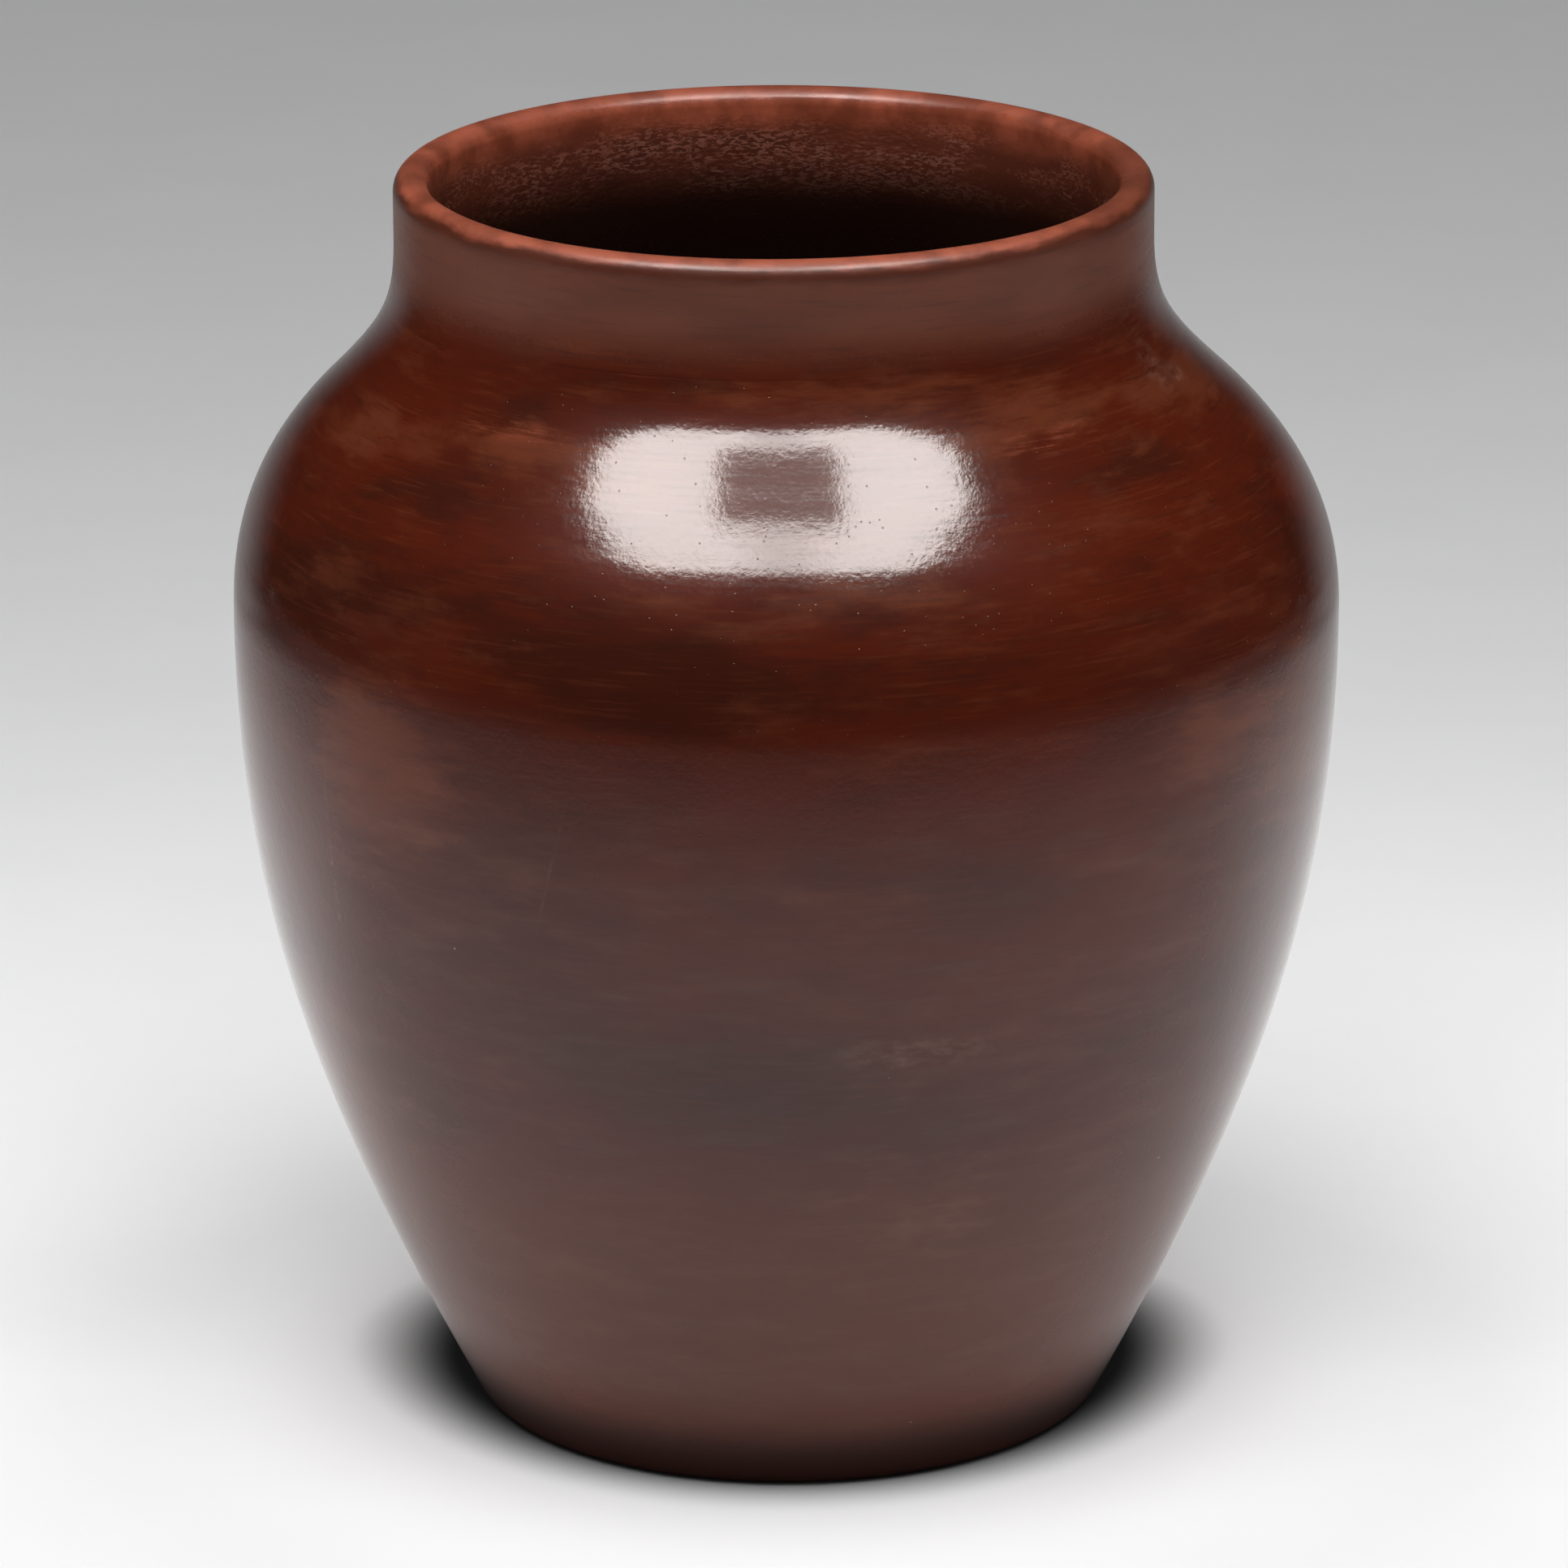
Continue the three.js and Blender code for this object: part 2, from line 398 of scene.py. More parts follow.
def rounded_corner(start, corner, end, pull):
    """A cubic curve from start to end that leans towards the corner between them."""
    leaving = start + (corner - start) * pull
    arriving = end + (corner - end) * pull
    t = np.linspace(0, 1, CURVE_STEPS + 1)[:, None]
    s = 1 - t
    return s ** 3 * start + 3 * s * s * t * leaving + 3 * s * t * t * arriving + t ** 3 * end


def rounded_edge(start, corner, end):
    """A quadratic curve that rounds off a corner."""
    t = np.linspace(0, 1, CURVE_STEPS + 1)[:, None]
    s = 1 - t
    return s * s * start + 2 * s * t * corner + t * t * end


class Line:
    """A line of points in the profile's plane, measured by the distance along it."""

    def __init__(self, points):
        self.points = np.asarray(points)
        steps = np.linalg.norm(np.diff(self.points, axis=0), axis=1)
        self.distances = np.concatenate([[0], np.cumsum(steps)])
        self.length = self.distances[-1]

    def at(self, distance):
        radius = np.interp(distance, self.distances, self.points[:, 0])
        height = np.interp(distance, self.distances, self.points[:, 1])
        return np.stack([radius, height], axis=-1)

    def direction(self, distance):
        ahead = self.at(np.minimum(distance + TANGENT_STEP, self.length))
        behind = self.at(np.maximum(distance - TANGENT_STEP, 0))
        step = ahead - behind
        return step / np.linalg.norm(step, axis=-1, keepdims=True)


def point(radius, height):
    return np.array([radius, height])


foot = point(FOOT_RADIUS, 0)
flare_corner = point(BELLY_RADIUS, FLARE_RISE)
belly = point(BELLY_RADIUS, flare_corner[1] + BELLY_RISE)
shoulder_corner = point(BELLY_RADIUS, belly[1] + SHOULDER_RISE)
neck_corner = point(NECK_RADIUS, shoulder_corner[1] + SLOPE_RISE)
neck = point(NECK_RADIUS, neck_corner[1] + NECK_RISE)
collar = point(NECK_RADIUS, neck[1] + COLLAR_RISE)
slope_turn = shoulder_corner + (neck_corner - shoulder_corner) * SLOPE_TURN

wall = Line(np.concatenate([
    rounded_corner(foot, flare_corner, belly, FLARE_PULL),
    rounded_corner(belly, shoulder_corner, slope_turn, SHOULDER_PULL)[1:],
    rounded_corner(slope_turn, neck_corner, neck, NECK_PULL)[1:],
    [collar],
]))


def inner_face(distance):
    """The point straight across the wall from a point of the outer face."""
    upward = wall.direction(distance)
    inward = np.stack([-upward[..., 1], upward[..., 0]], axis=-1)
    share = np.asarray(distance) / wall.length
    thickness = FOOT_WALL + (LIP_WALL - FOOT_WALL) * share
    return wall.at(distance) + inward * thickness[..., None]


def distance_at_inner_height(height):
    distances = np.linspace(0, wall.length / 2, SEARCH_POINTS)
    return np.interp(height, inner_face(distances)[:, 1], distances)


floor_corner = distance_at_inner_height(FLOOR_THICKNESS)
fillet_top = floor_corner + FLOOR_FILLET
base_joint = fillet_top + BASE_EDGE
rim_joint = wall.length - RIM_HEIGHT
course_height = (rim_joint - base_joint) / COURSE_COUNT


def heel_points():
    end = wall.at(HEEL_REACH)
    slant = wall.direction(HEEL_REACH)
    corner = point(end[0] - end[1] * slant[0] / slant[1], 0)
    return rounded_edge(point(corner[0] - HEEL_REACH, 0), corner, end)


def lip_points():
    radius = LIP_WALL / 2
    turn = np.linspace(0, math.pi, CURVE_STEPS + 1)
    across = NECK_RADIUS - radius + radius * np.cos(turn)
    return np.stack([across, collar[1] + radius * np.sin(turn)], axis=-1)


def floor_fillet_points():
    corner = inner_face(floor_corner)
    end = point(corner[0] - FLOOR_FILLET, FLOOR_THICKNESS)
    return rounded_edge(inner_face(fillet_top), corner, end)


# One line round the whole section: underside, heel, outer face, lip, inner face and floor.
outer_distances = np.linspace(HEEL_REACH, wall.length, FACE_POINTS)
inner_distances = np.linspace(wall.length, fillet_top, FACE_POINTS)
stretches = [
    [point(0, 0)],
    heel_points(),
    wall.at(outer_distances)[1:],
    lip_points()[1:],
    inner_face(inner_distances)[1:],
    floor_fillet_points()[1:],
    [point(0, FLOOR_THICKNESS)],
]
section = Line(np.concatenate(stretches))
ends = np.cumsum([len(stretch) for stretch in stretches]) - 1
heel_start = section.distances[1]
heel_end, lip_start, lip_end, wall_foot, floor_edge = section.distances[ends[1:6]]
lip_crest = (lip_start + lip_end) / 2


def outer_station(distance):
    """Where a distance up the outer face lies on the section's line."""
    return heel_end + distance - HEEL_REACH


def inner_station(distance):
    """Where the inner face, straight across the wall from that distance, lies on the section's line."""
    inner_stations = section.distances[ends[3]:ends[4] + 1]
    return np.interp(distance, inner_distances[::-1], inner_stations[::-1])


# Relief of the surface.

def smooth_step(value, low, high):
    share = np.clip((value - low) / (high - low), 0, 1)
    return share * share * (3 - 2 * share)


def noise_at(points, across, up):
    """Smooth noise, about -1 to 1, with features so wide and so tall."""
    scaled = points / np.array([across, across, up])
    values = [noise.noise(place) for place in scaled.reshape(-1, 3).tolist()]
    return np.array(values).reshape(points.shape[:-1])


def drag_marks(points, depth):
    """Flakes and grooves where grit was dragged round the inside of the neck, in patches."""
    patches = smooth_step(noise_at(points, DRAG_PATCH_LENGTH, DRAG_PATCH_HEIGHT), *DRAG_PATCH_EDGE)
    flakes = noise_at(points, DRAG_LENGTH, DRAG_HEIGHT)
    grit = noise_at(points + DRAG_LENGTH, GRIT_LENGTH, GRIT_HEIGHT)
    grooves = smooth_step(-flakes, *GROOVE_FALL)
    rise = smooth_step(flakes, *FLAKE_RISE) - GROOVE_SHARE * grooves + GRIT_SHARE * grit
    near = smooth_step(depth, DRAG_START, DRAG_FULL) * (1 - smooth_step(depth, DRAG_FADE, DRAG_END))
    return DRAG_DEPTH * rise * patches * near


def facing_front(across, back):
    """From 0 at the sides to 1 at the front, by the direction from the axis."""
    return smooth_step(-back / np.hypot(across, back), *FRONT_EDGE)


def front_shoulder(points):
    """The front of the shoulder, pressed a little flat, with a slight swell under the neck."""
    height = points[..., 2]
    hollow_top = smooth_step(height, HOLLOW_TOP, HOLLOW_FULL_TOP)
    hollow_foot = smooth_step(height, HOLLOW_FOOT, HOLLOW_FULL_FOOT)
    swell_top = smooth_step(height, SWELL_TOP, SWELL_CREST)
    swell_foot = smooth_step(height, SWELL_FOOT, SWELL_CREST)
    return FRONT_SWELL * swell_top * swell_foot - FRONT_HOLLOW * hollow_top * hollow_foot


def inner_relief(points, depth):
    """Finger ridges along the joints, and dragged grit near the mouth."""
    joints_from_rim = (depth - RIM_HEIGHT + JOINT_LAP) / course_height
    ridges = RIDGE_HEIGHT * np.cos(2 * math.pi * joints_from_rim)
    return ridges * smooth_step(depth, DRAG_FADE, DRAG_END) + drag_marks(points, depth)


def relief(points, stations):
    """How far the surface stands off its true line."""
    depth = stations - lip_crest
    waves = HAND_WAVE * noise_at(points, HAND_WAVE_SIZE, HAND_WAVE_SIZE)
    facets = FACET_DEPTH * noise_at(points, FACET_LENGTH, FACET_HEIGHT)
    if depth.max() > DRAG_START:
        raised = waves + facets + inner_relief(points, depth)
    else:
        front = facing_front(points[..., 0], points[..., 1])
        raised = waves * (1 - front) + facets + front_shoulder(points) * front
    above_heel = smooth_step(stations, heel_start, heel_end + HEEL_EASE)
    above_floor = 1 - smooth_step(stations, wall_foot, floor_edge)
    return raised * above_heel * above_floor


def ring_points(stations, angles):
    """The clay's surface at each station of the section and each angle about the axis."""
    line = section.at(stations)
    along = section.direction(stations)
    height = np.broadcast_to(line[:, 1:], (len(stations), len(angles)))
    drift = -NECK_DRIFT * smooth_step(height, belly[1], neck[1])
    lean = COLLAR_LEAN * smooth_step(height, neck[1] - LEAN_EASE, collar[1] + LEAN_EASE)
    radius = line[:, :1] + lean * facing_front(np.sin(angles), -np.cos(angles))
    around = np.stack([np.sin(angles), -np.cos(angles)], axis=-1)
    true_line = np.stack([radius * around[:, 0] + drift, radius * around[:, 1], height], axis=-1)
    outward = np.stack([
        along[:, 1:] * around[:, 0],
        along[:, 1:] * around[:, 1],
        np.broadcast_to(-along[:, :1], height.shape),
    ], axis=-1)
    raised = relief(true_line, np.broadcast_to(stations[:, None], height.shape))
    return true_line + outward * raised[..., None]


def unit(vectors):
    return vectors / np.maximum(np.linalg.norm(vectors, axis=-1, keepdims=True), LEAST_LENGTH)


def surface(stations, columns):
    """Points and normals of a stretch of the surface, as rows of rings."""
    angles = np.arange(columns) * 2 * math.pi / columns
    points = ring_points(stations, angles)
    up = ring_points(stations + TANGENT_STEP, angles) - ring_points(stations - TANGENT_STEP, angles)
    around = np.roll(points, -1, axis=1) - np.roll(points, 1, axis=1)
    return points, unit(np.cross(around, up))


# The clay courses.

class CourseMesh:
    """Gathers the rings and faces of one course, with normals and a place in its texture for each corner."""

    def __init__(self, columns):
        self.columns = columns
        self.points = []
        self.from_lip = []
        self.faces = []
        self.normals = []
        self.places = []
        self.count = 0

    def add_points(self, points, stations):
        first = self.count
        self.points.append(points.reshape(-1, 3))
        self.from_lip.append(np.asarray(stations) - lip_crest)
        self.count += len(self.points[-1])
        return first

    def add_faces(self, faces, normals, places):
        self.faces.extend(faces.tolist())
        self.normals.append(normals.reshape(-1, 3))
        self.places.append(places.reshape(-1, 2))

    def strip_places(self, low, high):
        """Texture places of the quads of one ring: bands of columns, one above the other."""
        column = np.arange(self.columns)
        band, step = np.divmod(column, self.columns // TEXTURE_BANDS)
        left = step * TEXTURE_BANDS / self.columns
        right = (step + 1) * TEXTURE_BANDS / self.columns
        bottom = (band + TEXTURE_MARGIN + low * (1 - 2 * TEXTURE_MARGIN)) / TEXTURE_BANDS
        top = (band + TEXTURE_MARGIN + high * (1 - 2 * TEXTURE_MARGIN)) / TEXTURE_BANDS
        corners = [(left, bottom), (right, bottom), (right, top), (left, top)]
        return np.stack([np.stack(corner, axis=-1) for corner in corners], axis=1)

    def quads(self, lower, upper):
        column = np.arange(self.columns)
        after = (column + 1) % self.columns
        return np.stack([lower + column, lower + after, upper + after, upper + column], axis=1)

    def add_run(self, run, low, high):
        """One stretch of visible surface. Returns where its first and last rings start."""
        points, normals = surface(run, self.columns)
        first = self.add_points(points, np.repeat(run, self.columns))
        shares = np.interp(run, [run[0], run[-1]], [low, high])
        for row in range(len(run) - 1):
            faces = self.quads(row * self.columns, (row + 1) * self.columns)
            corner_normals = normals.reshape(-1, 3)[faces]
            self.add_faces(first + faces, corner_normals, self.strip_places(shares[row], shares[row + 1]))
        return first, first + (len(run) - 1) * self.columns

    def add_joint(self, lower, upper, low, high):
        """The bevelled face between two rings that lies against the next course."""
        faces = self.quads(lower, upper)
        points = np.concatenate(self.points)[faces]
        flat = unit(np.cross(points[:, 2] - points[:, 0], points[:, 3] - points[:, 1]))
        self.add_faces(faces, np.repeat(flat[:, None], 4, axis=1), self.strip_places(low, high))

    def add_centre(self, ring, height, station, facing, low, high):
        """Closes a ring with triangles to a point on the axis."""
        centre = self.add_points(np.array([[0, 0, height]]), [station])
        quads = self.quads(ring, ring)
        corners = [quads[:, 0], quads[:, 1]] if facing > 0 else [quads[:, 1], quads[:, 0]]
        faces = np.stack(corners + [np.full(self.columns, centre)], axis=1)
        normals = np.broadcast_to([0, 0, facing], (self.columns, 3, 3))
        places = self.strip_places(low, high)
        order = [0, 1, 3] if facing > 0 else [1, 0, 3]
        self.add_faces(faces, normals, places[:, order])

    def build(self, name):
        mesh = bpy.data.meshes.new(name)
        mesh.from_pydata(np.concatenate(self.points).tolist(), [], self.faces)
        from_lip = mesh.attributes.new("from_lip", "FLOAT", "POINT")
        from_lip.data.foreach_set("value", np.concatenate(self.from_lip))
        layer = mesh.uv_layers.new(name="OFBake")
        layer.uv.foreach_set("vector", np.concatenate(self.places).ravel())
        mesh.polygons.foreach_set("use_smooth", np.ones(len(self.faces), dtype=bool))
        mesh.normals_split_custom_set(np.concatenate(self.normals).tolist())
        piece = bpy.data.objects.new(name, mesh)
        bpy.context.scene.collection.objects.link(piece)
        return piece


def stations_between(start, end, step):
    count = max(2, round((end - start) / step))
    return np.linspace(start, end, count + 1)


def joined(*runs):
    return np.concatenate([runs[0]] + [run[1:] for run in runs[1:]])


def base_disc(name):
    course = CourseMesh(WALL_COLUMNS)
    under = stations_between(FLOOR_STEP, heel_start, FLOOR_STEP)
    heel = stations_between(heel_start, heel_end, LIP_STEP)
    outer = stations_between(heel_end, outer_station(base_joint), OUTER_STEP)
    inner = stations_between(inner_station(base_joint + JOINT_LAP), floor_edge, INNER_STEP)
    floor = stations_between(floor_edge, section.length - FLOOR_STEP, FLOOR_STEP)
    inner_share = BASE_SPLIT + NARROW_STRIP
    centre_share = 1 - NARROW_STRIP
    first, outer_top = course.add_run(joined(under, heel, outer), NARROW_STRIP, BASE_SPLIT)
    inner_top, last = course.add_run(joined(inner, floor), inner_share, centre_share)
    course.add_joint(outer_top, inner_top, BASE_SPLIT, inner_share)
    course.add_centre(first, 0, 0, -1, 0, NARROW_STRIP)
    course.add_centre(last, FLOOR_THICKNESS, section.length, 1, centre_share, 1)
    return course.build(name)


def wall_coil(name, lower, upper):
    near_mouth = inner_station(upper + JOINT_LAP) < lip_crest + DRAG_END
    course = CourseMesh(MOUTH_COLUMNS if near_mouth else WALL_COLUMNS)
    inner_step = MOUTH_STEP if near_mouth else INNER_STEP
    outer = stations_between(outer_station(lower), outer_station(upper), OUTER_STEP)
    inner = stations_between(inner_station(upper + JOINT_LAP), inner_station(lower + JOINT_LAP), inner_step)
    inner_share = COIL_SPLIT + NARROW_STRIP
    foot_share = 1 - NARROW_STRIP / 2
    outer_foot, outer_top = course.add_run(outer, NARROW_STRIP / 2, COIL_SPLIT)
    inner_top, inner_foot = course.add_run(inner, inner_share, foot_share)
    course.add_joint(outer_top, inner_top, COIL_SPLIT, inner_share)
    course.add_joint(inner_foot, outer_foot, foot_share, 1)
    return course.build(name)


def rim_coil(name):
    course = CourseMesh(MOUTH_COLUMNS)
    outer = stations_between(outer_station(rim_joint), lip_start, OUTER_STEP)
    lip = stations_between(lip_start, lip_end, LIP_STEP)
    inner = stations_between(lip_end, inner_station(rim_joint + JOINT_LAP), MOUTH_STEP)
    foot_share = 1 - NARROW_STRIP
    first, last = course.add_run(joined(outer, lip, inner), 0, foot_share)
    course.add_joint(last, first, foot_share, 1)
    return course.build(name)


def build_courses(material, fill_lit):
    subparts = frame["record"]["subparts"]
    for index, subpart in enumerate(subparts):
        node = subpart["node"]
        name = node + "_clay"
        lower = base_joint + (index - 1) * course_height
        if index == 0:
            piece = base_disc(name)
        elif index == len(subparts) - 1:
            piece = rim_coil(name)
        else:
            piece = wall_coil(name, lower, lower + course_height)
        piece.data.materials.append(material)
        fill_lit.objects.link(piece)
        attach(piece, "root")
        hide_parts(node)


# Shader nodes.

class Graph:
    """Short ways to add shader nodes to one tree."""

    def __init__(self, tree):
        self.tree = tree
        tree.nodes.clear()

    def feed(self, socket, value):
        if isinstance(value, bpy.types.NodeSocket):
            self.tree.links.new(value, socket)
        else:
            socket.default_value = value

    def node(self, kind, inputs, **settings):
        node = self.tree.nodes.new("ShaderNode" + kind)
        for name, value in settings.items():
            setattr(node, name, value)
        for name, value in inputs.items():
            self.feed(node.inputs[name], value)
        return node

    def place(self):
        return self.node("TexCoord", {}).outputs["Object"]

    def axes(self, place):
        return self.node("SeparateXYZ", {"Vector": place}).outputs

    def math(self, operation, first, second):
        return self.node("Math", {0: first, 1: second}, operation=operation).outputs[0]

    def add(self, first, second):
        return self.math("ADD", first, second)

    def times(self, first, second):
        return self.math("MULTIPLY", first, second)

    def absolute(self, value):
        return self.node("Math", {0: value}, operation="ABSOLUTE").outputs[0]

    def distance(self, place, middle=(0, 0, 0)):
        return self.node("VectorMath", {0: place, 1: middle}, operation="DISTANCE").outputs["Value"]

    def fade(self, value, low, high, start=0.0, end=1.0):
        """Goes smoothly from start, where the value is low, to end, where it is high."""
        limits = {"Value": value, "From Min": low, "From Max": high, "To Min": start, "To Max": end}
        return self.node("MapRange", limits, interpolation_type="SMOOTHSTEP").outputs["Result"]

    def mix(self, share, first, second, **settings):
        return self.node("Mix", {0: share, 6: first, 7: second}, data_type="RGBA", **settings).outputs[2]

    def noise(self, place, across, up, detail, roughness):
        """Noise from 0 to 1 with features so wide and so tall."""
        scale = (1 / across, 1 / across, 1 / up)
        scaled = self.node("Mapping", {"Vector": place, "Scale": scale}).outputs[0]
        texture = {"Vector": scaled, "Scale": 1.0, "Detail": detail, "Roughness": roughness}
        return self.node("TexNoise", texture).outputs["Fac"]

    def dots(self, place, spacing, radius, share):
        """Round dots of one size, in that share of the cells of a random grid."""
        cells = self.node("TexVoronoi", {"Vector": place, "Scale": 1 / spacing})
        dot = self.fade(cells.outputs["Distance"], radius / spacing, radius / spacing / 2)
        lot = self.node("SeparateColor", {"Color": cells.outputs["Color"]}).outputs[0]
        return self.times(dot, self.math("LESS_THAN", lot, share))

    def patch(self, place, angle, height, width, tall, tilt=0.0):
        """A soft oval patch on the outer wall: 1 at its middle and 0 at its edge."""
        distance = np.interp(height * MM, wall.points[:, 1], wall.distances)
        radius = wall.at(distance)[0]
        turn = math.radians(angle)
        frame_of_patch = {
            "Vector": place,
            "Location": (radius * math.sin(turn), -radius * math.cos(turn), height * MM),
            "Rotation": (0, math.radians(tilt), turn),
            "Scale": (width * MM / 2, PATCH_DEPTH, tall * MM / 2),
        }
        local = self.node("Mapping", frame_of_patch, vector_type="TEXTURE").outputs[0]
        return self.node("TexGradient", {"Vector": local}, gradient_type="SPHERICAL").outputs["Fac"]

    def patches(self, place, spots):
        """Patches laid over each other, each with its strength."""
        total = 0.0
        for strength, *spot in spots:
            total = self.add(self.times(self.patch(place, *spot), strength), total)
        return total

    def end(self, kind, shader):
        self.node("Output" + kind, {"Surface": shader.outputs[0]})


def new_material(name):
    """A material with an empty tree, and the tree's graph."""
    material = bpy.data.materials.new(name)
    material.use_nodes = True
    return material, Graph(material.node_tree)


# Fired clay.

class Clay:
    """The patterns and zones that the clay's colour, gloss and relief share."""

    def __init__(self, graph):
        self.place = graph.place()
        self.height = graph.axes(self.place)["Z"]
        self.shoulder = graph.fade(self.height, SHOULDER_START, SHOULDER_FULL, BELLY_MARKS, 1)
        self.neck = graph.fade(self.height, NECK_START, NECK_FULL)
        self.strokes = graph.noise(self.place, *STROKES)
        self.streaks = graph.noise(self.place, *STREAKS)
        self.grain = graph.noise(self.place, *GRAIN)
        islands = graph.fade(graph.noise(self.place, *ISLANDS), *ISLAND_EDGE)
        self.flakes = graph.times(graph.fade(graph.noise(self.place, *FLAKES), *FLAKE_EDGE), islands)

        # The zones' edges are ragged, apart from those deep inside.
        self.from_lip = graph.node("Attribute", {}, attribute_name="from_lip").outputs["Fac"]
        ragged = graph.fade(self.streaks, *RAGGED_EDGE, -WEAR_RAGGED, WEAR_RAGGED)
        self.uneven = graph.add(self.from_lip, ragged)
        self.worn_lip = graph.fade(self.uneven, -LIP_WEAR_OUTSIDE, -LIP_WEAR_OUTSIDE / 2)
        # Painted shade: a line below the worn lip.
        self.shade_below_lip = graph.fade(self.uneven, -LIP_WEAR_OUTSIDE - PAINTED_SHADE_BELOW_LIP, -LIP_WEAR_OUTSIDE)
        self.inside = graph.fade(self.uneven, LIP_WEAR_INSIDE, LIP_WEAR_END)
        heel_from_lip = heel_start - lip_crest
        self.under = graph.fade(self.uneven, heel_from_lip, heel_from_lip - UNDER_EASE)


def slip_ground(graph, clay):
    """Red slip with clouds, and with dark and warm patches whose edges follow the streaks."""
    clouds = graph.noise(clay.place, *CLOUDS)
    colour = graph.mix(graph.fade(clouds, *CLOUD_EDGE), SLIP_DEEP_AND_SHADE, SLIP_RED)
    ragged = graph.times(graph.add(clay.streaks, -NOISE_MIDDLE), graph.times(clay.shoulder, PATCH_RAGGED))
    dark = graph.fade(graph.add(graph.patches(clay.place, DARK_PATCHES), ragged), *DARK_EDGE)
    colour = graph.mix(graph.times(dark, DARK_STRENGTH), colour, SLIP_BLACK_AND_SHADE)
    warm = graph.fade(graph.add(graph.patches(clay.place, WARM_PATCHES), ragged), *WARM_EDGE)
    return graph.mix(graph.times(warm, WARM_STRENGTH), colour, SLIP_ORANGE_AND_BOUNCE_LIGHT)


def slip_wash(graph, clay, colour):
    """Thin warm and dark washes over the shoulder, and a warm neck."""
    wash = graph.noise(clay.place, *WASH)
    warm = graph.fade(wash, *WASH_WARM_EDGE, 0, WASH_STRENGTH)
    colour = graph.mix(graph.times(warm, clay.shoulder), colour, SLIP_ORANGE_AND_BOUNCE_LIGHT)
    dark = graph.fade(wash, *WASH_DARK_EDGE, 0, WASH_STRENGTH)
    colour = graph.mix(graph.times(dark, clay.shoulder), colour, SLIP_BLACK_AND_SHADE)
    neck_wash = graph.fade(wash, *NECK_WASH_EDGE, NECK_WASH_LEAST, NECK_WASH_MOST)
    return graph.mix(graph.times(clay.neck, neck_wash), colour, SLIP_ORANGE_AND_BOUNCE_LIGHT)


def slip_wear(graph, clay, colour):
    """Rubbed and scratched patches, and the burnishing strokes."""
    rubbing = graph.fade(graph.noise(clay.place, *RUBBING), *RUBBING_EDGE)
    rubbed = graph.times(graph.fade(graph.patches(clay.place, RUBBED_PATCHES), *PATCH_EDGE), rubbing)
    colour = graph.mix(graph.times(rubbed, RUBBED_STRENGTH), colour, CLAY_DUST_AND_VEIL)
    scratches = graph.fade(graph.add(clay.strokes, clay.streaks), *SCRATCH_EDGE)
    scratched = graph.times(graph.fade(graph.patches(clay.place, SCRATCHED_PATCHES), *PATCH_EDGE), scratches)
    colour = graph.mix(graph.times(scratched, SCRATCH_STRENGTH), colour, LIP_ORANGE)
    dark = graph.fade(clay.strokes, *STROKE_DARK_EDGE, 0, STROKE_DARK)
    colour = graph.mix(graph.times(dark, clay.shoulder), colour, SLIP_BLACK_AND_SHADE)
    warm = graph.fade(clay.strokes, *STROKE_WARM_EDGE, 0, STROKE_WARM)
    return graph.mix(graph.times(warm, clay.shoulder), colour, SLIP_ORANGE_AND_BOUNCE_LIGHT)


def slip_dust_and_painted_light(graph, clay, colour):
    """Painted bounce light on the foot, painted reflection below the belly and on the neck, painted heel
    shade, pale specks.
    """
    # Painted bounce light from the floor, warming the foot.
    bounce_light = graph.fade(clay.height, FOOT_BOUNCE_START, FOOT_BOUNCE_FULL, 0, FOOT_BOUNCE_LIGHT)
    colour = graph.mix(bounce_light, colour, SLIP_ORANGE_AND_BOUNCE_LIGHT)
    # Painted reflection: smudges in a dust colour below the belly and on the neck stand in for the mirrored
    # veil.
    low = graph.fade(clay.height, SMUDGE_START, SMUDGE_FULL)
    smudges = graph.times(graph.fade(clay.streaks, *SMUDGE_EDGE, 0, SMUDGE_VEIL), low)
    colour = graph.mix(graph.add(smudges, graph.times(clay.neck, NECK_VEIL)), colour, CLAY_DUST_AND_VEIL)
    # Painted shade on the heel, darkest where it stands close over the floor.
    colour = graph.mix(graph.fade(clay.height, HEEL_SHADE_START, HEEL_SHADE_FULL), colour, SLIP_BLACK_AND_SHADE)
    return graph.mix(graph.dots(clay.place, *SPECKS), colour, CLAY_DUST_AND_VEIL)


def lip_colour(graph, clay):
    spots = graph.fade(graph.noise(clay.place, *LIP_SPOTS), *LIP_SPOT_EDGE)
    colour = graph.mix(spots, LIP_RED, LIP_ORANGE)
    shade = graph.times(graph.patch(clay.place, *LIP_SHADE), LIP_SHADE_STRENGTH)
    return graph.mix(shade, colour, SLIP_ORANGE_AND_BOUNCE_LIGHT)


def inner_colour(graph, clay):
    """Dark rough clay with flakes near the mouth, painted shade to black below, and bare clay deep inside.
    """
    clouds = graph.fade(graph.noise(clay.place, *INSIDE_CLOUDS), *INSIDE_CLOUD_EDGE)
    colour = graph.mix(clouds, INSIDE_DARK, INSIDE_RED)
    colour = graph.mix(graph.times(clay.flakes, FLAKE_STRENGTH), colour, INSIDE_FLAKE)
    # Painted shade, darkening the inside to black below the mouth.
    black = graph.fade(clay.from_lip, INSIDE_SHADE_START, INSIDE_SHADE_FULL)
    colour = graph.mix(black, colour, INSIDE_SHADE)
    return graph.mix(graph.fade(clay.from_lip, DEEP_START, DEEP_FULL), colour, INSIDE_DEEP)


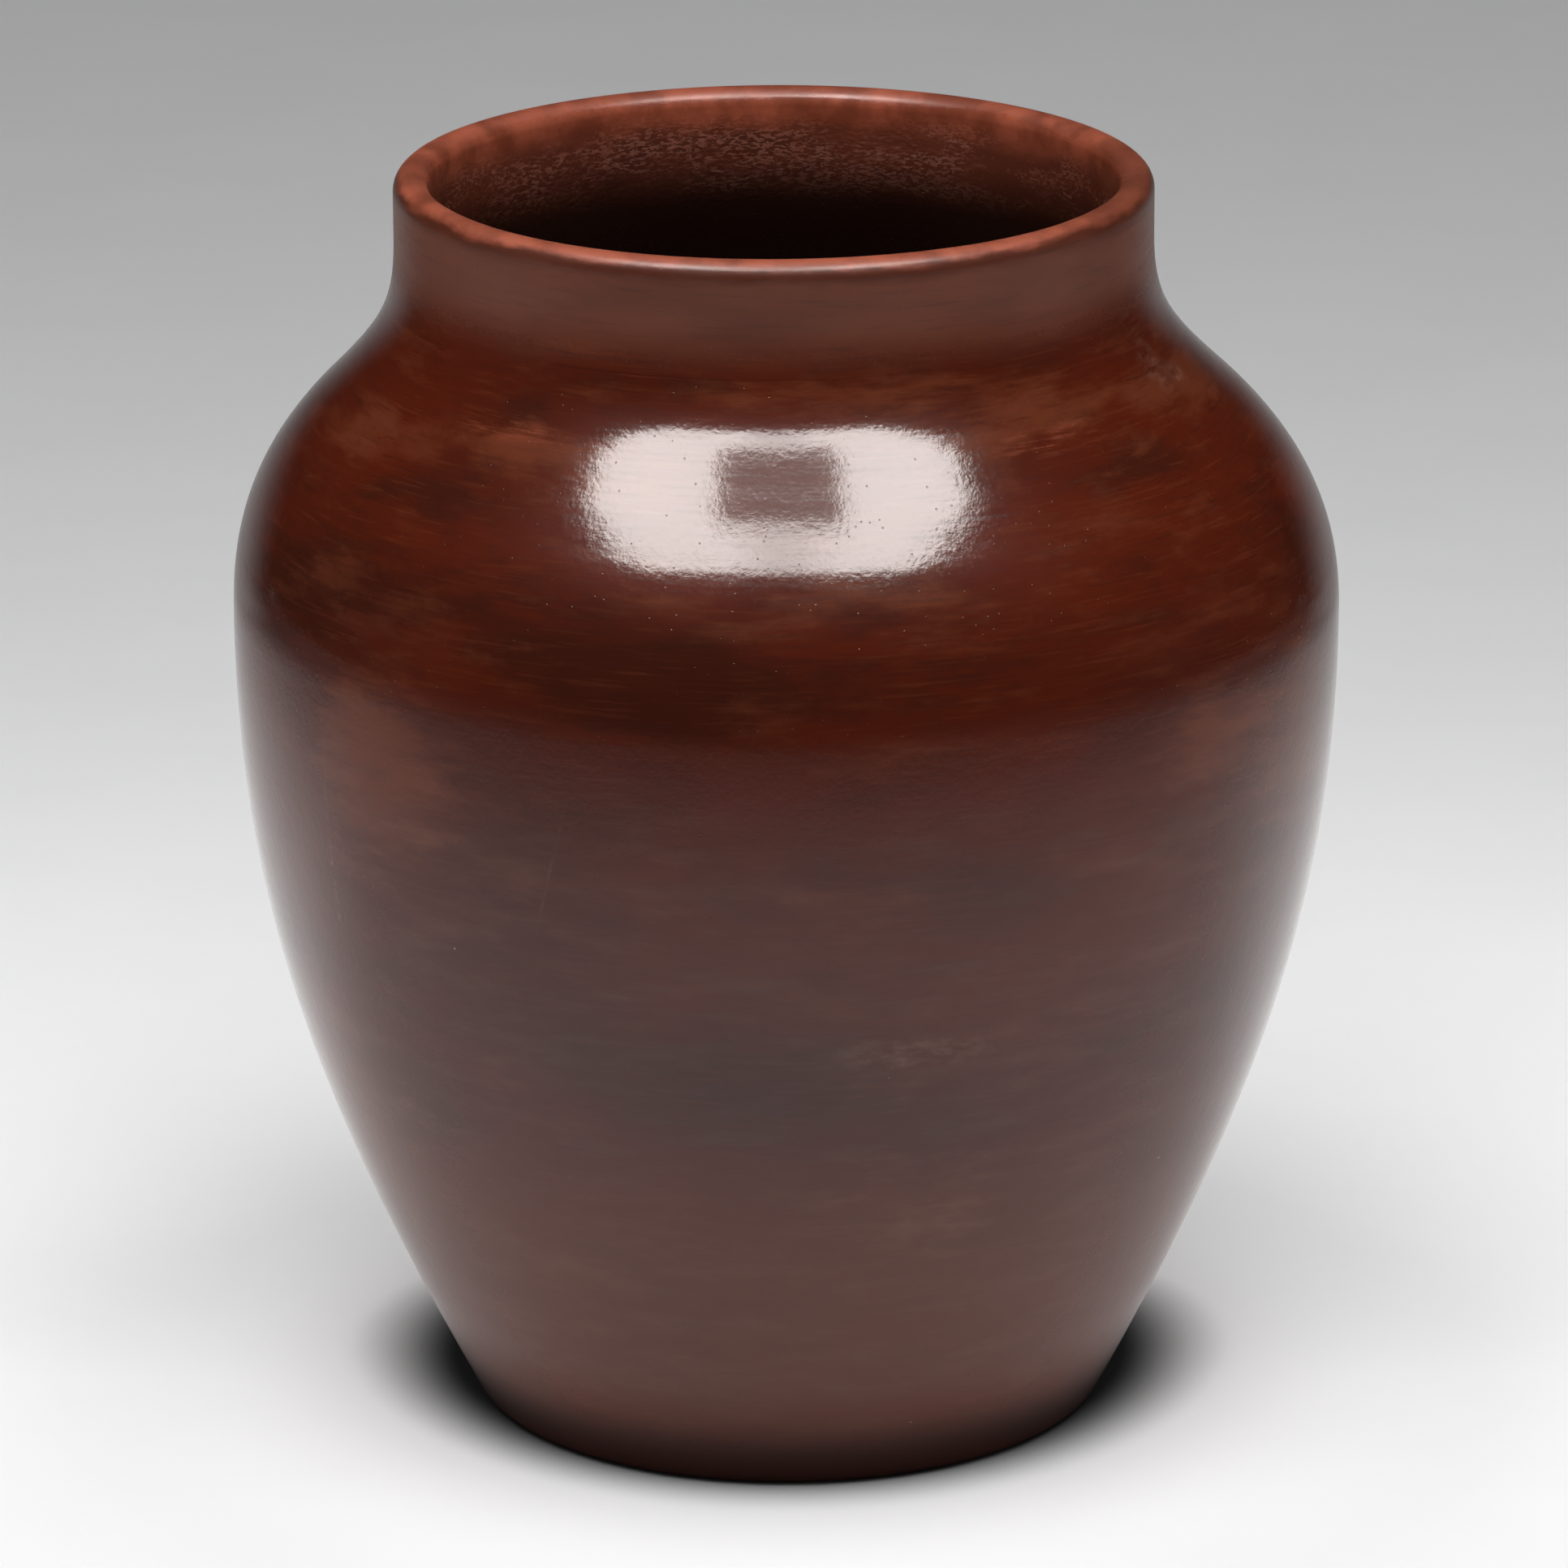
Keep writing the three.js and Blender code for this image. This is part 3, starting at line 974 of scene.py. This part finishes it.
def clay_colour(graph, clay):
    colour = slip_ground(graph, clay)
    colour = slip_wash(graph, clay, colour)
    colour = slip_wear(graph, clay, colour)
    colour = slip_dust_and_painted_light(graph, clay, colour)
    # Painted shade: a darker line below the worn lip, where its roll turns down.
    colour = graph.mix(graph.times(clay.shade_below_lip, PAINTED_SHADE_BELOW_LIP_STRENGTH), colour, SLIP_DEEP_AND_SHADE)
    colour = graph.mix(clay.worn_lip, colour, lip_colour(graph, clay))
    colour = graph.mix(clay.inside, colour, inner_colour(graph, clay))
    bare = graph.mix(graph.fade(clay.grain, *BARE_GRAIN_EDGE), BARE_DARK, BARE_PALE)
    return graph.mix(clay.under, colour, bare)


def clay_roughness(graph, clay):
    """Polished by strokes on the wall, and duller at the neck, on the lip, deep inside and underneath."""
    shares = [
        graph.times(graph.fade(clay.grain, *GRAIN_ROUGH_EDGE), ROUGH_GRAIN),
        graph.fade(clay.uneven, -NECK_HAZE_START, -NECK_HAZE_FULL, 0, ROUGH_NECK),
        graph.times(clay.worn_lip, ROUGH_LIP - ROUGH_NECK),
        graph.fade(clay.uneven, LIP_GLOSS_START, LIP_GLOSS_FULL, 0, -GLOSS_INSIDE_LIP),
        graph.times(clay.inside, ROUGH_INSIDE),
        graph.times(clay.under, ROUGH_UNDER),
        graph.fade(clay.from_lip, DEEP_START, DEEP_FULL, 0, ROUGH_DEEP),
    ]
    roughness = graph.fade(clay.strokes, *STROKE_ROUGH_EDGE, ROUGH_POLISHED, ROUGH_STROKE)
    for share in shares:
        roughness = graph.add(roughness, share)
    return roughness


def clay_relief(graph, clay):
    """Strokes, mottle, grain and pits all over, and flakes on the bare clay."""
    mottle = graph.noise(clay.place, *MOTTLE)
    bare = graph.math("MAXIMUM", clay.inside, clay.under)
    height = graph.times(clay.strokes, STROKE_DEPTH)
    height = graph.add(height, graph.times(mottle, MOTTLE_DEPTH))
    height = graph.add(height, graph.times(clay.grain, GRAIN_DEPTH))
    height = graph.add(height, graph.times(graph.dots(clay.place, *PITS), -PIT_DEPTH))
    height = graph.add(height, graph.times(graph.times(clay.flakes, bare), FLAKE_DEPTH))
    return graph.node("Bump", {"Height": height, "Strength": 1.0, "Distance": 1.0}).outputs["Normal"]


def fired_clay():
    material, graph = new_material("fired_clay")
    clay = Clay(graph)
    shader = graph.node("BsdfPrincipled", {
        "Base Color": clay_colour(graph, clay),
        "Roughness": clay_roughness(graph, clay),
        "Normal": clay_relief(graph, clay),
        "IOR": CLAY_IOR,
        "Coat Weight": SCUFF_WEIGHT,
        "Coat Roughness": SCUFF_ROUGHNESS,
    })
    graph.end("Material", shader)
    return material


# The studio's papers and cards.

def paper_mottle(graph, place, dim):
    return graph.fade(graph.noise(place, *PAPER_MOTTLE), *PAPER_MOTTLE_EDGE, dim, 1)


def glowing_card(name, colour, radiance, pattern=None):
    """A faintly mottled card that glows, evenly or after a pattern."""
    material, graph = new_material(name)
    place = graph.place()
    strength = graph.times(paper_mottle(graph, place, CARD_MOTTLE_DIM), radiance)
    if pattern:
        strength = graph.times(strength, pattern(graph, graph.axes(place)))
    graph.end("Material", graph.node("Emission", {"Color": colour, "Strength": strength}))
    return material


def softbox_pattern(graph, axes):
    """A little dimmer in the middle."""
    return graph.fade(graph.absolute(axes["X"]), SOFTBOX_DIM_START, SOFTBOX_DIM_END, SOFTBOX_DIM, 1)


def sweep_pattern(graph, axes):
    """Fades out to the sides and upwards."""
    sides = graph.fade(graph.absolute(axes["X"]), SWEEP_DIM, SWEEP_HALF_WIDTH, 1, 0)
    return graph.times(sides, graph.fade(axes["Z"], 0, SWEEP_HEIGHT, 1, 0))


def contact_shade(graph, place, along, ease, press):
    """Dims the paper close to the foot, less so before it if eased and more so behind it if pressed."""
    shift = graph.fade(along, CONTACT_FRONT, CONTACT_BACK, ease, -press)
    return graph.fade(graph.add(graph.distance(place), shift), CONTACT_DARK, CONTACT_CLEAR, CONTACT_SHADE, 1)


def matt_paper(graph, place, colour, brightness):
    """Ends a paper's graph with matt white paper, faintly mottled."""
    share = graph.times(brightness, paper_mottle(graph, place, PAPER_MOTTLE_DIM))
    dimmed = graph.mix(share, BLACK, colour, clamp_factor=False)
    paper = {"Base Color": dimmed, "Roughness": PAPER_ROUGHNESS, "Specular IOR Level": 0.0}
    graph.end("Material", graph.node("BsdfPrincipled", paper))


def floor_paper():
    """The paper on the floor with painted light and shade: graded from front to back, painted brighter round
    the vase.
    """
    material, graph = new_material("floor_paper")
    place = graph.place()
    along = graph.axes(place)["Y"]
    limits = {"Value": along, "From Min": FLOOR_FRONT_Y, "From Max": FLOOR_BACK_Y}
    share = graph.node("MapRange", limits).outputs["Result"]
    # Painted shade towards the front, painted light just behind the vase, dimmer far back.
    colour = graph.mix(graph.math("POWER", share, FLOOR_FALL), FLOOR_FRONT, FLOOR_BACK)
    colour = graph.mix(graph.fade(along, FLOOR_BACK_Y, FLOOR_BRIGHT_Y), colour, FLOOR_BRIGHT)
    colour = graph.mix(graph.fade(along, FLOOR_BRIGHT_Y, FLOOR_FAR_Y), colour, FLOOR_FAR)
    # Painted light round the vase.
    near = graph.fade(graph.distance(place), NEAR_START, NEAR_END, NEAR_PAINTED_LIGHT, 1)
    contact = contact_shade(graph, place, along, CONTACT_EASE, CONTACT_PRESS)
    matt_paper(graph, place, colour, graph.times(near, contact))
    return material


def mirrored_paper():
    """The paper as the clay mirrors it: a pool of light round the vase that fades out into the dark room."""
    material, graph = new_material("mirrored_paper")
    place = graph.place()
    axes = graph.axes(place)
    along = axes["Y"]
    reach = graph.fade(along, POOL_FRONT, POOL_BACK, POOL_END_FRONT, POOL_END_BACK)
    level = graph.fade(along, POOL_FRONT, POOL_BACK, POOL_BRIGHT_FRONT, 1)
    from_middle = graph.distance(place, (0, POOL_Y, 0))
    pool = graph.times(graph.fade(from_middle, POOL_START, reach, 1, POOL_DIM), level)
    sides = graph.fade(graph.absolute(axes["X"]), FAR_SIDE_START, FAR_SIDE_END, 1, 0)
    far = graph.times(graph.fade(along, FAR_START, FAR_FULL, 0, FAR_BRIGHT), sides)
    contact = contact_shade(graph, place, along, MIRRORED_EASE, 0)
    matt_paper(graph, place, WHITE, graph.times(graph.math("MAXIMUM", pool, far), contact))
    return material


# The studio's props.

def stage_mesh(name, points, faces, *materials):
    mesh = bpy.data.meshes.new(name)
    mesh.from_pydata(points, [], faces)
    for material in materials:
        mesh.materials.append(material)
    prop = bpy.data.objects.new(name, mesh)
    bpy.context.scene.collection.objects.link(prop)
    return prop


def only_reflected(prop):
    """Leaves a prop to be mirrored by the clay alone, so that it neither shows nor lights anything else."""
    prop.visible_camera = False
    prop.visible_diffuse = False
    prop.visible_transmission = False
    prop.visible_volume_scatter = False
    prop.visible_shadow = False


def rectangle(left, right, front, back, height):
    return [(left, front, height), (right, front, height), (right, back, height), (left, back, height)]


def add_floor():
    corners = rectangle(-FLOOR_REACH, FLOOR_REACH, -FLOOR_REACH, FLOOR_REACH, 0)
    stage_mesh("studio_floor", corners, [(0, 1, 2, 3)], floor_paper())


def add_softbox():
    """The lit front of the softbox overhead and the shade that hangs before it."""
    left, right = SOFTBOX_EDGE[0][0], SOFTBOX_EDGE[-1][0]
    shade = [
        (SHADE_HALF_WIDTH, SOFTBOX_BACK), (SHADE_HALF_WIDTH, SHADE_FRONT),
        (-SHADE_HALF_WIDTH, SHADE_FRONT), (-SHADE_HALF_WIDTH, SOFTBOX_BACK),
    ]
    outline = [(left, SOFTBOX_BACK)] + SOFTBOX_EDGE + [(right, SOFTBOX_BACK)] + shade
    points = [(x, y, SOFTBOX_Z) for x, y in outline]
    cloth_face = tuple(range(len(points)))
    shade_face = cloth_face[-len(shade):]
    bright = glowing_card("softbox_cloth", CREAM, SOFTBOX_RADIANCE, softbox_pattern)
    dim = glowing_card("softbox_shade", CREAM, SHADE_RADIANCE)
    softbox = stage_mesh("studio_softbox", points, [cloth_face, shade_face], bright, dim)
    softbox.data.polygons[-1].material_index = 1
    only_reflected(softbox)


def add_room():
    """The unlit room: dark cloth on the ground round the table, a ceiling and four walls."""
    ceiling = rectangle(-ROOM_REACH, ROOM_REACH, -ROOM_REACH, ROOM_REACH, ROOM_REACH)
    ground = rectangle(-ROOM_REACH, ROOM_REACH, -ROOM_REACH, ROOM_REACH, 0)
    sheets = [
        rectangle(-ROOM_REACH, ROOM_REACH, -ROOM_REACH, TABLE_FRONT, CLOTH_LIFT),
        rectangle(-ROOM_REACH, -TABLE_HALF_WIDTH, TABLE_FRONT, ROOM_REACH, CLOTH_LIFT),
        rectangle(TABLE_HALF_WIDTH, ROOM_REACH, TABLE_FRONT, ROOM_REACH, CLOTH_LIFT),
        ceiling,
    ]
    for side in range(len(ground)):
        sheets.append([ground[side], ground[side - 1], ceiling[side - 1], ceiling[side]])
    points = [corner for sheet in sheets for corner in sheet]
    faces = [tuple(range(4 * sheet, 4 * sheet + 4)) for sheet in range(len(sheets))]
    dark = glowing_card("unlit_room", WHITE, ROOM_RADIANCE)
    only_reflected(stage_mesh("studio_room", points, faces, dark))


def add_table(fill_lit):
    """The table under the vase, lifted off the floor by no more than a cloth."""
    corners = rectangle(-TABLE_HALF_WIDTH, TABLE_HALF_WIDTH, TABLE_FRONT, SWEEP_Y, CLOTH_LIFT)
    table = stage_mesh("studio_table", corners, [(0, 1, 2, 3)], mirrored_paper())
    only_reflected(table)
    fill_lit.objects.link(table)


def add_sweep():
    """The paper's sweep up behind the vase, as a glowing card that only the clay mirrors."""
    corners = [
        (-SWEEP_HALF_WIDTH, SWEEP_Y, 0), (SWEEP_HALF_WIDTH, SWEEP_Y, 0),
        (SWEEP_HALF_WIDTH, SWEEP_Y, SWEEP_HEIGHT), (-SWEEP_HALF_WIDTH, SWEEP_Y, SWEEP_HEIGHT),
    ]
    glow = glowing_card("glowing_sweep", WHITE, SWEEP_RADIANCE, sweep_pattern)
    only_reflected(stage_mesh("studio_sweep", corners, [(0, 1, 2, 3)], glow))


def add_lamp(name, shape, size, power, place, turn):
    """A soft lamp whose mirror image is left to the cards."""
    light = bpy.data.lights.new(name, "AREA")
    light.shape = shape
    light.size, light.size_y = size
    light.energy = power
    lamp = bpy.data.objects.new(name, light)
    lamp.location = place
    lamp.rotation_euler = turn
    lamp.visible_camera = False
    lamp.visible_glossy = False
    bpy.context.scene.collection.objects.link(lamp)
    return lamp


def add_lamps(fill_lit):
    """The softbox's light from above, and low fill light from both sides on what fill_lit holds."""
    add_lamp("studio_key", "ELLIPSE", (KEY_WIDTH, KEY_DEPTH), KEY_POWER, (0, KEY_Y, KEY_Z), (0, 0, 0))
    for name, side in (("studio_fill_left", -1), ("studio_fill_right", 1)):
        size = (FILL_HEIGHT, FILL_LENGTH)
        turn = (0, side * math.pi / 2, 0)
        fill = add_lamp(name, "RECTANGLE", size, FILL_POWER, (side * FILL_X, 0, FILL_Z), turn)
        fill.light_linking.receiver_collection = fill_lit


def add_world():
    """White all round: dimmer as a light than as it is seen."""
    world = bpy.data.worlds.new("studio")
    world.use_nodes = True
    graph = Graph(world.node_tree)
    path = graph.node("LightPath", {}).outputs
    seen = graph.add(graph.add(path["Is Camera Ray"], path["Is Glossy Ray"]), path["Is Transmission Ray"])
    strength = graph.fade(seen, 0, 1, AMBIENT, BACKGROUND)
    graph.end("World", graph.node("Background", {"Color": WHITE, "Strength": strength}))
    bpy.context.scene.world = world


def add_camera():
    data = bpy.data.cameras.new("camera")
    data.sensor_width = SENSOR
    data.lens = FOCAL_PIXELS * SENSOR / PHOTO_SIDE
    camera = bpy.data.objects.new("camera", data)
    camera.location = CAMERA_PLACE
    turned = Euler((math.pi / 2 - CAMERA_PITCH, 0, 0)).to_matrix() @ Euler((0, 0, CAMERA_ROLL)).to_matrix()
    camera.rotation_euler = turned.to_euler()
    bpy.context.scene.collection.objects.link(camera)
    bpy.context.scene.camera = camera


fill_lit = bpy.data.collections.new("fill_lit")
build_courses(fired_clay(), fill_lit)
add_floor()
add_softbox()
add_lamps(fill_lit)
add_room()
add_table(fill_lit)
add_sweep()
add_world()
add_camera()
bpy.context.scene.view_settings.view_transform = "Standard"
